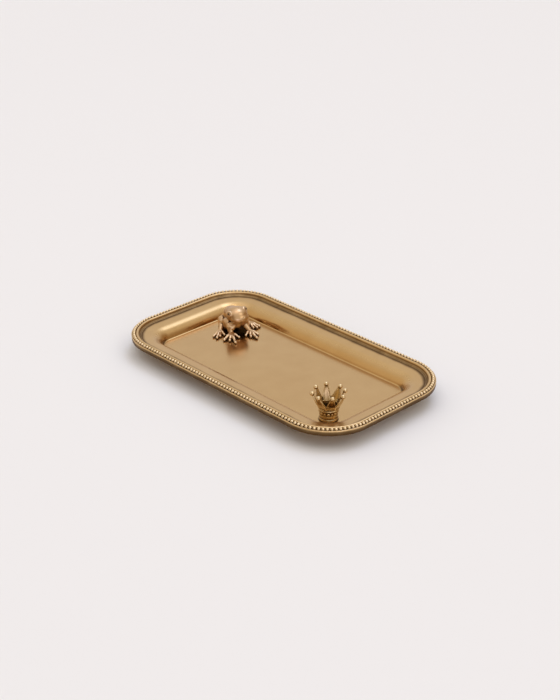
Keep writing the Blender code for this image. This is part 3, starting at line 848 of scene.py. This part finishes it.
frog_bm.normal_update()
moves = []
for vert in frog_bm.verts:
    here = vert.co / FROG_LENGTH
    push = 0.0
    ahead = smooth_step(here.x, -0.13, -0.06) * smooth_step(abs(here.y), 0.25, 0.19)
    if ahead and here.z > 0.225:
        push += ahead * pushed(here.z - mouth_height(here.y), MOUTH_CUTS)
    for eye in EYES:
        side = beside_eye(here, *eye)
        if side < EYE_REACH:
            push += pushed(side, EYE_CUTS)
    for nostril in NOSTRILS:
        push += pushed((here - nostril).length, NOSTRIL_CUTS)
    moves.append(vert.normal * push * FROG_LENGTH)
for vert, move in zip(frog_bm.verts, moves):
    vert.co += move
print("the deepest cut in mm is", round(max(move.length for move in moves) / MM, 2))

# %% Seat the frog, measure its hollows and finish it
bmesh.ops.smooth_vert(frog_bm, verts=frog_bm.verts, factor=0.5, use_axis_x=True, use_axis_y=True,
                      use_axis_z=True)
below = bmesh.ops.bisect_plane(frog_bm, geom=[*frog_bm.verts, *frog_bm.edges, *frog_bm.faces],
                               plane_co=(0.0, 0.0, 0.0), plane_no=(0.0, 0.0, 1.0),
                               clear_inner=True, dist=0.001 * MM)["geom_cut"]
cut_edges = [part for part in below if isinstance(part, bmesh.types.BMEdge)]
bmesh.ops.holes_fill(frog_bm, edges=cut_edges, sides=0)
bmesh.ops.recalc_face_normals(frog_bm, faces=frog_bm.faces)


def frog_painted_shade_and_dark_eyes(place, normal):
    """Painted shade under the belly and the chin, and dark in the two eyes."""
    here = place / FROG_LENGTH
    # Painted shade on faces that look down, and under the low body between the legs
    below = max(0.0, -normal.z) * smooth_step(here.z, 0.34, 0.16)
    sheltered = (smooth_step(here.z, 0.26, 0.14) * smooth_step(abs(here.y), 0.22, 0.13)
                 * smooth_step(here.x, 0.26, 0.10) * smooth_step(here.x, -0.42, -0.30))
    pupils = max(0.85 * bell(beside_eye(here, *eye), 0.050) for eye in EYES)
    return 2.0 * max(0.75 * below, 0.95 * sheltered, pupils) - 1.0


def set_down(bm, heading, seat):
    """Turns a casting the way it faces and moves it to its seat."""
    bmesh.ops.rotate(bm, verts=bm.verts, cent=(0.0, 0.0, 0.0),
                     matrix=Matrix.Rotation(heading, 3, "Z"))
    bmesh.ops.translate(bm, verts=bm.verts, vec=seat)


write_hollows_and_shade(frog_bm, fine=(8, 0.22 * MM), broad=(60, 0.75 * MM), extra=frog_painted_shade_and_dark_eyes)
set_down(frog_bm, FROG_HEADING, FROG_SEAT)
frog = finished_piece("cast_frog", frog_bm, frog_finish, "figure_brass", "frog_figure")

# %% [markdown]
# ## The crown
#
# The crown is a small open cup. Its band was turned, with fine ridges and a row of
# low bosses, and eight pointed leaves flare out from it, each with a ball on its tip.
# The band is a profile spun all the way round. One leaf is a grid that is bent to
# the flare, given the wall's thickness and a raised border, and then copied round.
# A voxel remesh fuses everything, which also rounds the edges as casting does.

# %% Spin the crown's band
FULL_TURN = 2 * math.pi
CROWN_HEADING = math.radians(9)
CROWN_HEIGHT = 22.5 * MM
CROWN_FOOT_RADIUS = 7.3 * MM
CROWN_TIP_RADIUS = 12.1 * MM
CROWN_WALL = 1.3 * MM
CROWN_CUP_FLOOR = 4.6 * MM
CROWN_BORE = 0.905 * CROWN_FOOT_RADIUS - CROWN_WALL
CROWN_VOXEL = 0.21 * MM
BOSSES = 16
BOSS_RADIUS = 1.0 * MM
BOSS_PLACE = (0.97 * CROWN_FOOT_RADIUS, 0.0, 0.290 * CROWN_HEIGHT)
BOSS_SHARES = ((0.45, 0.62, 0.62), (0.55, 1.05, 0.95))
BAND_PROFILE = (
    # height as a share of the crown's height, radius as a share of its foot radius
    (0.000, 0.975), (0.010, 1.000), (0.038, 1.020), (0.066, 1.008), (0.084, 0.970), (0.100, 0.940),
    (0.158, 0.950), (0.172, 0.982), (0.190, 0.992), (0.206, 0.980), (0.218, 0.955),
    (0.360, 0.995), (0.372, 1.010), (0.384, 1.065), (0.400, 1.085), (0.416, 1.072), (0.428, 1.020),
    (0.440, 1.030), (0.454, 1.135), (0.472, 1.165), (0.490, 1.155), (0.502, 1.120), (0.520, 1.165),
)


def turned(profile, steps):
    """Radius and height pairs, spun all the way round the Z axis as on a lathe."""
    bm = bmesh.new()
    line = [bm.verts.new((radius, 0.0, height)) for radius, height in profile]
    edges = [bm.edges.new(pair) for pair in zip(line, line[1:])]
    bmesh.ops.spin(bm, geom=line + edges, cent=(0.0, 0.0, 0.0), axis=(0.0, 0.0, 1.0),
                   angle=FULL_TURN, steps=steps, use_merge=True)
    bmesh.ops.remove_doubles(bm, verts=bm.verts, dist=MERGE_DISTANCE)
    bmesh.ops.recalc_face_normals(bm, faces=bm.faces)
    return bm


line = [(0.0, 0.0)] + [(share * CROWN_FOOT_RADIUS, height * CROWN_HEIGHT)
                       for height, share in BAND_PROFILE]
line += [(line[-1][0] - CROWN_WALL, line[-1][1]), (CROWN_BORE, CROWN_CUP_FLOOR),
         (0.0, CROWN_CUP_FLOOR)]
crown_bm = turned(line, steps=96)
for number in range(BOSSES):
    turn = Matrix.Rotation(FULL_TURN * (number + 0.5) / BOSSES, 4, "Z")
    size = Matrix.Diagonal(BOSS_SHARES[number % 2]).to_4x4()
    bmesh.ops.create_uvsphere(crown_bm, u_segments=12, v_segments=8, radius=BOSS_RADIUS,
                              matrix=turn @ Matrix.Translation(BOSS_PLACE) @ size)
print("the band has", len(crown_bm.faces), "faces before it is fused")

# %% Raise its eight leaves and their balls
LEAVES = 8
LEAF_FOOT = 0.46 * CROWN_HEIGHT
LEAF_FOOT_RADIUS = 1.10 * CROWN_FOOT_RADIUS
LEAF_SHOULDER = 0.590 * CROWN_HEIGHT
LEAF_TIP_RADIUS = CROWN_TIP_RADIUS + 0.3 * MM
LEAF_TIP_HALF = 0.62 * MM
LEAF_BORDER = 0.30 * MM
LEAF_SINK = 0.25 * MM
LEAF_THICKNESS = 1.15 * MM
BALL_RADIUS = 1.8 * MM
LEAF_BENDS = {
    # hand-bent leaves: sideways lean and outward flare, in degrees
    0: (0, 4), 2: (11, 0), 5: (-3, 4), 6: (3, 4), 7: (-4, -0.5),
}


def leaf_radius(height):
    """The flare of the leaves, from the top of the band to the balls."""
    way = min(1.0, max(0.0, (height / CROWN_HEIGHT - 0.46) / 0.54))
    return LEAF_FOOT_RADIUS + (LEAF_TIP_RADIUS - LEAF_FOOT_RADIUS) * (1.55 * way - 0.55 * way * way)


def leaf_half_width(height):
    way = max(0.0, (height - LEAF_SHOULDER) / (CROWN_HEIGHT - LEAF_SHOULDER))
    foot = leaf_radius(LEAF_SHOULDER) * math.sin(math.pi / LEAVES)
    return LEAF_TIP_HALF + (foot - LEAF_TIP_HALF) * (1.0 - way) ** 0.74


for number in range(LEAVES):
    leaf = bmesh.new()
    bmesh.ops.create_grid(leaf, x_segments=12, y_segments=24, size=1.0)
    for vert in leaf.verts:
        across, up = vert.co.x, (vert.co.y + 1) / 2
        height = LEAF_FOOT + (CROWN_HEIGHT - LEAF_FOOT) * up
        half = leaf_half_width(height)
        border = LEAF_BORDER * smooth_step(abs(across), 0.45, 0.95)
        radius = leaf_radius(height) + border - LEAF_SINK
        drop = radius - math.sqrt(radius * radius - (across * half) ** 2)
        vert.co = Vector((radius - 0.6 * drop, across * half, height))
    bmesh.ops.recalc_face_normals(leaf, faces=leaf.faces)
    if sum(face.normal.x for face in leaf.faces) < 0:
        bmesh.ops.reverse_faces(leaf, faces=leaf.faces)
    leaf = worked(leaf, ("SOLIDIFY", {"thickness": LEAF_THICKNESS, "offset": -1.0}))
    ball = Matrix.Translation((CROWN_TIP_RADIUS, 0.0, CROWN_HEIGHT))
    bmesh.ops.create_uvsphere(leaf, u_segments=20, v_segments=14, radius=BALL_RADIUS, matrix=ball)
    lean, flare = (math.radians(angle) for angle in LEAF_BENDS.get(number, (0, 0)))
    bmesh.ops.rotate(leaf, verts=[vert for vert in leaf.verts if vert.co.z > LEAF_SHOULDER],
                     cent=(CROWN_FOOT_RADIUS, 0.0, LEAF_SHOULDER),
                     matrix=Matrix.Rotation(lean, 3, "X") @ Matrix.Rotation(flare, 3, "Y"))
    bmesh.ops.rotate(leaf, verts=leaf.verts, cent=(0.0, 0.0, 0.0),
                     matrix=Matrix.Rotation(FULL_TURN * number / LEAVES, 3, "Z"))
    pour_in(crown_bm, leaf)
crown_bm = worked(crown_bm, ("REMESH", {"mode": "VOXEL", "voxel_size": CROWN_VOXEL}),
                  ("SMOOTH", {"factor": 0.5, "iterations": 3}))


def crown_painted_shade(place, normal):
    """Painted shade inside the cup and just above the ring at its foot."""
    height = place.z / CROWN_HEIGHT
    out = Vector((place.x, place.y, 0.0)).normalized()
    # Painted shade inside the cup, and painted shade in a band just above the foot ring
    inside = smooth_step(-normal.dot(out), 0.0, 0.5) * smooth_step(height, 0.60, 0.38)
    return 2.0 * max(0.70 * inside, 0.62 * bell(height - 0.11, 0.03)) - 1.0


write_hollows_and_shade(crown_bm, fine=(6, 0.10 * MM), broad=(50, 0.6 * MM), extra=crown_painted_shade)
crown_middle = middle_of("crown_figure")
crown_seat = Vector((crown_middle.x, crown_middle.y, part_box("crown_figure")[0].z))
set_down(crown_bm, CROWN_HEADING, crown_seat)
crown = finished_piece("cast_crown", crown_bm, crown_finish, "figure_brass", "crown_figure")

# %% [markdown]
# ## The pan under its figures
#
# The floor under a casting is darkened with painted shadow, and with patina where
# polish never reaches, so the pan comes after the figures. Its corners get painted
# shade first. Then the floor is filled as one face with three round screw holes left
# in it, and near each figure it is cut into small cells. A cell's painted shadow and
# patina grow with how low the casting hangs over it and how close the nearest toe or
# foot is. A solidify step gives the sheet its thickness, and the underside of the floor
# is made clean again, since these dark marks belong to its top side.

# %% Form the pan
SCREW_NODES = ("frog_right_screw", "frog_left_screw", "crown_screw")
HOLE_RADIUS = 1.8 * MM
CORNER_SHADE = 0.42
CORNER_SHADE_INSET = 25 * MM
CORNER_SHADE_REACH = 3.0 * MM
FLOOR_CELL = 0.8 * MM
NEAR_FIGURE = 3 * MM
COVER_REACH = 15.0 * MM
CONTACT_REACH = 2.2 * MM
FLOOR_SHADOW_AND_PATINA = 0.9


def floor_faces(bm, low, high):
    """The faces of the floor that reach into a box."""
    found = []
    for face in bm.faces:
        xs = [vert.co.x for vert in face.verts]
        ys = [vert.co.y for vert in face.verts]
        if (abs(face.calc_center_median().z - FLOOR_TOP) < MERGE_DISTANCE and max(xs) > low.x
                and min(xs) < high.x and max(ys) > low.y and min(ys) < high.y):
            found.append(face)
    return found


def shadow_and_patina_under(bm, figure):
    """Cuts the floor near a figure into small cells and gives them painted shadow and patina where it is
    close or hangs low.
    """
    tree = BVHTree.FromPolygons([vert.co for vert in figure.data.vertices],
                                [face.vertices for face in figure.data.polygons])
    corners = [Vector(corner) for corner in figure.bound_box]
    low = Vector([min(corner[axis] for corner in corners) - NEAR_FIGURE for axis in range(3)])
    high = Vector([max(corner[axis] for corner in corners) + NEAR_FIGURE for axis in range(3)])
    for axis, across in enumerate((Vector((1.0, 0.0, 0.0)), Vector((0.0, 1.0, 0.0)))):
        for step in range(int((high[axis] - low[axis]) / FLOOR_CELL) + 1):
            faces = floor_faces(bm, low, high)
            edges = {edge for face in faces for edge in face.edges}
            verts = {vert for face in faces for vert in face.verts}
            bmesh.ops.bisect_plane(bm, geom=[*verts, *edges, *faces], dist=0.001 * MM,
                                   plane_co=across * (low[axis] + step * FLOOR_CELL),
                                   plane_no=across)
    layer = bm.verts.layers.float["hollow"]
    for vert in {vert for face in floor_faces(bm, low, high) for vert in face.verts}:
        distance = tree.find_nearest(vert.co)[3]
        above = tree.ray_cast(vert.co + Vector((0.0, 0.0, 0.05 * MM)), Vector((0.0, 0.0, 1.0)))[3]
        # Painted shadow where the figure hangs low and close round its feet, and patina there too
        cover = 0.0 if above is None else 1.0 - above / COVER_REACH
        vert[layer] = max(vert[layer], FLOOR_SHADOW_AND_PATINA * cover, FLOOR_SHADOW_AND_PATINA - distance / CONTACT_REACH)


bm = carry_round(pan_section, closed=False)
layer = bm.verts.layers.float["hollow"]
# Painted shade in the pan's four inner corners, at the foot of the wall
for vert in bm.verts:
    out = Vector((abs(vert.co.x) - REACH_X, abs(vert.co.y) - REACH_Y))
    if min(out) > 0.0:
        at_corner = 2 * out.x * out.y / out.length_squared
        inset = CORNER_RADIUS - out.length
        vert[layer] += CORNER_SHADE * at_corner * bell(inset - CORNER_SHADE_INSET,
                                                        CORNER_SHADE_REACH)
rim_of_floor = [edge for edge in bm.edges if edge.is_boundary
                and all(abs(vert.co.z - FLOOR_TOP) < MERGE_DISTANCE for vert in edge.verts)]
for node in SCREW_NODES:
    place = middle_of(node)
    ring = bmesh.ops.create_circle(bm, segments=24, radius=HOLE_RADIUS,
                                   matrix=Matrix.Translation((place.x, place.y, FLOOR_TOP)))
    rim_of_floor += {edge for vert in ring["verts"] for edge in vert.link_edges}
bmesh.ops.triangle_fill(bm, use_beauty=True, use_dissolve=False, edges=rim_of_floor)
bmesh.ops.recalc_face_normals(bm, faces=bm.faces)
lowest = min(bm.faces, key=lambda face: face.calc_center_median().z)
if lowest.normal.z < 0:
    bmesh.ops.reverse_faces(bm, faces=bm.faces)
for figure in (frog, crown):
    shadow_and_patina_under(bm, figure)
bm = worked(bm, ("SOLIDIFY", {"thickness": SHEET_THICKNESS, "offset": -1.0,
                              "use_even_offset": True}))
layer = bm.verts.layers.float["hollow"]
for vert in bm.verts:
    if vert.co.z < PAN_LOW + MERGE_DISTANCE:
        vert[layer] = 0.0
finished_piece("pressed_pan", bm, pan_finish, "satin_brass", "tray_pan")

# %% [markdown]
# ## Screws, washers and pads
#
# Nobody sees the underside until the tray is turned over, but then the screws, their
# washers and the soft pads are what shows. Each is a profile spun all the way round.
# A cross for the driver is cut into each screw head with a Boolean step, and the
# finishes are zinc with fine scratches and a matt black rubber.

# %% Finish the zinc and the rubber
SCRATCHES_PER_M = 700.0
SCRATCH_STRETCH = (1.0, 9.0, 1.0)
SPECKS_PER_M = 2200.0
SPECK_HEIGHT = 0.05 * MM

zinc_finish, tree, shader = new_material("zinc_plated_steel")
place = add_node(tree, "TexCoord").outputs["Object"]
stretched = add_node(tree, "Mapping", {"Vector": place, "Scale": SCRATCH_STRETCH}).outputs[0]
streaks = noise(tree, stretched, SCRATCHES_PER_M, 3.0)
fill(tree, shader, {
    "Base Color": mixed(tree, streaks, (0.50, 0.50, 0.48, 1.0), (0.62, 0.61, 0.58, 1.0)),
    "Metallic": 1.0,
    "Roughness": remap(tree, streaks, 0.0, 1.0, 0.28, 0.48),
    "Normal": bumped(tree, streaks, 0.3, BUMP_HEIGHT),
})

rubber_finish, tree, shader = new_material("matt_black_rubber")
specks = noise(tree, add_node(tree, "TexCoord").outputs["Object"], SPECKS_PER_M, 3.0)
fill(tree, shader, {
    "Base Color": mixed(tree, specks, (0.010, 0.009, 0.008, 1.0), (0.035, 0.032, 0.030, 1.0)),
    "Roughness": 0.85,
    "Normal": bumped(tree, specks, 0.6, SPECK_HEIGHT),
})
print("finishes below the tray:", zinc_finish.name, "and", rubber_finish.name)

# %% Turn the screws, washers and pads
TURN_STEPS = 48
SCREW_HEAD_HEIGHT = 1.0 * MM
SCREW_TIP = ((0.0, 0.0), (1.25, 0.0), (1.5, -0.3))
SCREW_HEAD = ((1.5, 0.0), (2.8, 0.0), (3.0, -0.15), (2.95, -0.50), (2.70, -0.78), (2.25, -0.94),
              (1.70, -1.0), (0.0, -1.0))
CROSS_WIDTH = 0.75 * MM
CROSS_ARM = 1.15 * MM
CROSS_DEPTH = 0.62 * MM
CROSS_OVERRUN = 0.5 * MM
WASHER_BORE = 1.8 * MM
WASHER_RADIUS = 3.5 * MM
WASHER_BEVEL = 0.08 * MM
PAD_TOP = ((0.0, 0.0), (5.2, 0.0), (5.45, -0.25))
PAD_SOLE = ((5.5, 1.0), (5.35, 0.45), (4.95, 0.10), (4.5, 0.0), (2.2, 0.0), (1.9, 0.25), (0.0, 0.30))


def cross_cutter(low, high):
    """A cross-shaped bar: a cube with an arm pulled out of each of its four sides."""
    bm = bmesh.new()
    bmesh.ops.create_cube(bm, size=CROSS_WIDTH,
                          matrix=Matrix.Translation((0.0, 0.0, (low + high) / 2)))
    for vert in bm.verts:
        vert.co.z = high if vert.co.z > (low + high) / 2 else low
    bm.normal_update()
    for face in [face for face in bm.faces if abs(face.normal.z) < 0.5]:
        out = face.normal.copy()
        pulled = bmesh.ops.extrude_discrete_faces(bm, faces=[face])["faces"]
        bmesh.ops.translate(bm, verts=pulled[0].verts, vec=out * CROSS_ARM)
    bmesh.ops.recalc_face_normals(bm, faces=bm.faces)
    return put_in_scene("cross", mesh_of("cross", bm))


def place_small(name, bm, finish, slot, node):
    """Moves a turned piece from the Z axis to its node's place and finishes it."""
    place = middle_of(node)
    bmesh.ops.translate(bm, verts=bm.verts, vec=(place.x, place.y, 0.0))
    finished_piece(name, bm, finish, slot, node)


screw_low, screw_high = (corner.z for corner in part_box("crown_screw"))
screw_profile = from_level(screw_high, SCREW_TIP) + from_level(screw_low + SCREW_HEAD_HEIGHT,
                                                              SCREW_HEAD)
cutter = cross_cutter(screw_low - CROSS_OVERRUN, screw_low + CROSS_DEPTH)
for node in SCREW_NODES:
    bm = worked(turned(screw_profile, TURN_STEPS),
                ("BOOLEAN", {"operation": "DIFFERENCE", "object": cutter}))
    place_small(node.replace("_screw", "_pan_head_screw"), bm, zinc_finish, "screw_steel", node)
bpy.data.objects.remove(cutter, do_unlink=True)

for node in ("frog_right_washer", "frog_left_washer", "crown_washer"):
    low, high = (corner.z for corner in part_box(node))
    ring = ((WASHER_BORE, low), (WASHER_BORE, high), (WASHER_RADIUS - WASHER_BEVEL, high),
            (WASHER_RADIUS, high - WASHER_BEVEL), (WASHER_RADIUS, low + WASHER_BEVEL),
            (WASHER_RADIUS - WASHER_BEVEL, low), (WASHER_BORE, low))
    place_small(node.replace("_washer", "_flat_washer"), turned(ring, TURN_STEPS), zinc_finish,
                "screw_steel", node)

pad_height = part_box("foot_pad_frog_end_right")[1].z
pad_profile = from_level(pad_height, PAD_TOP) + from_level(0.0, PAD_SOLE)
for end in ("frog_end", "crown_end"):
    for side in ("right", "left"):
        place_small(f"rubber_pad_{end}_{side}", turned(pad_profile, TURN_STEPS), rubber_finish,
                    "pad_rubber", f"foot_pad_{end}_{side}")

# %% [markdown]
# ## The size of the dressed tray
#
# The dressed tray is drawn to fill the same box as the plain solids, neither larger
# nor smaller. Its box is printed here, and the part's size was printed when the part
# was loaded.

# %% Print the dressed tray's box
low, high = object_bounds()
print("visual box in mm:", [[round(v / MM, 2) for v in corner] for corner in (low, high)])
